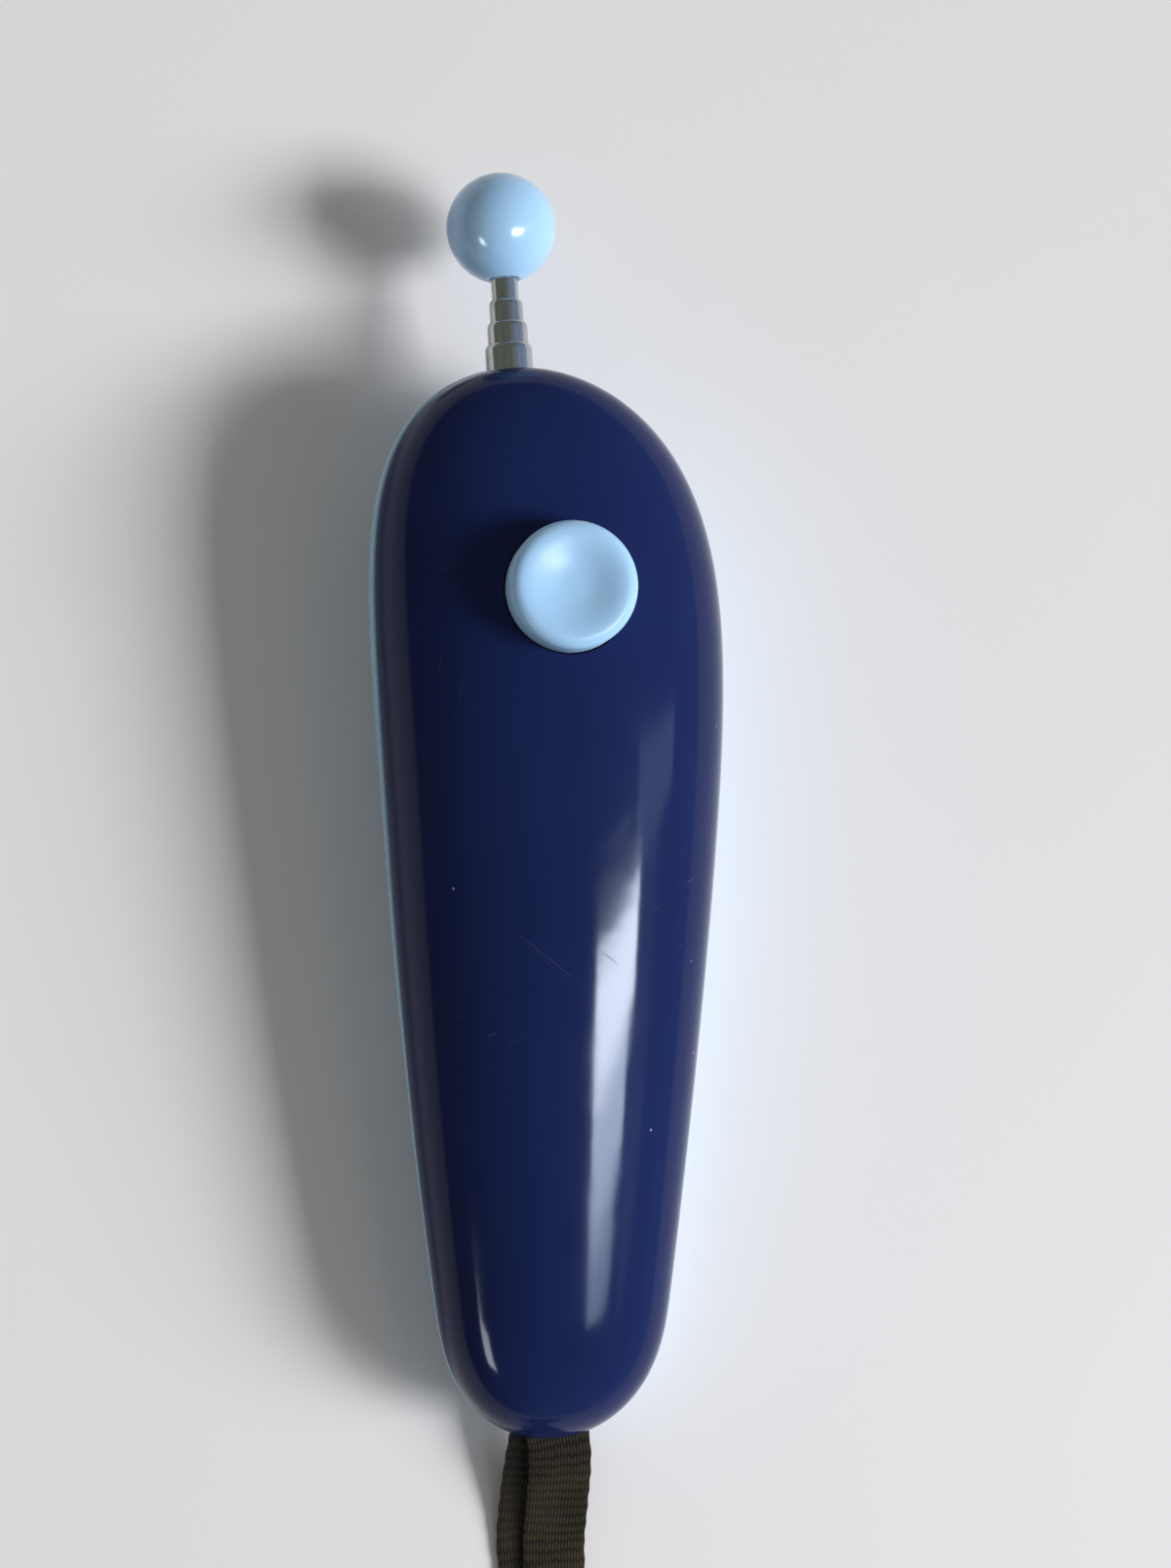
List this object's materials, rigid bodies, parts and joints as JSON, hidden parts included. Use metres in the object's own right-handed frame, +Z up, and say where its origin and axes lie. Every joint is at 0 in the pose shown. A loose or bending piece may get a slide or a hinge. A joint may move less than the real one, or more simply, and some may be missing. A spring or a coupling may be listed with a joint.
{
  "type": "clicker trainer",
  "caption": "Hand-held training clicker with a rounded two-shell handle, a thumb button, a telescopic target stick ending in a ball, and a webbing wrist loop.",
  "frame": {"origin": "on the flat foot of the handle, under the stick's axis, half way from the handle's tail to the tip of the ball with the stick pushed in", "axes": "+Y along the stick towards the ball, +Z up from the foot through the button, +X to the right seen from above with the ball ahead"},
  "size_m": [0.0376, 0.2576, 0.0285],
  "materials": {
    "navy": "gloss",
    "light_blue": "gloss",
    "chrome": "polished",
    "steel": "satin",
    "brass": "satin",
    "black_plastic": "matte",
    "webbing": "woven"
  },
  "bodies": {
    "handle": {"bottom_casing": "light_blue", "top_cover": "navy", "case_screws": "steel", "click_reed": "steel", "clicker_frame": "black_plastic", "base_tube": "chrome", "tube_anchor": "brass", "anchor_screw": "steel", "strap_pin": "steel", "wrist_strap": "webbing"},
    "button": {"button_cap": "light_blue"},
    "section_1": {"tube_1": "chrome", "ring_1": "brass"},
    "section_2": {"tube_2": "chrome", "ring_2": "brass"},
    "section_3": {"tube_3": "chrome", "ring_3": "brass"},
    "section_4": {"tube_4": "chrome", "ring_4": "brass"},
    "section_5": {"tube_5": "chrome", "ring_5": "brass"},
    "section_6": {"tube_6": "chrome", "ring_6": "brass", "tip_stud": "brass", "target_ball": "light_blue"}
  },
  "joints": [
    {"name": "button_press", "type": "slide", "parent": "handle", "child": "button", "axis": [0, 0, -1], "range_m": [0, 0.0018], "stiffness_N_per_m": 3500, "springref_m": -0.0004, "deforming": ["click_reed"]},
    {"name": "slide_1", "type": "slide", "parent": "handle", "child": "section_1", "axis": [0, 1, 0], "range_m": [0, 0.081]},
    {"name": "slide_2", "type": "slide", "parent": "section_1", "child": "section_2", "axis": [0, 1, 0], "range_m": [0, 0.0834]},
    {"name": "slide_3", "type": "slide", "parent": "section_2", "child": "section_3", "axis": [0, 1, 0], "range_m": [0, 0.0857]},
    {"name": "slide_4", "type": "slide", "parent": "section_3", "child": "section_4", "axis": [0, 1, 0], "range_m": [0, 0.0891]},
    {"name": "slide_5", "type": "slide", "parent": "section_4", "child": "section_5", "axis": [0, 1, 0], "range_m": [0, 0.0914]},
    {"name": "slide_6", "type": "slide", "parent": "section_5", "child": "section_6", "axis": [0, 1, 0], "range_m": [0, 0.0938]}
  ]
}
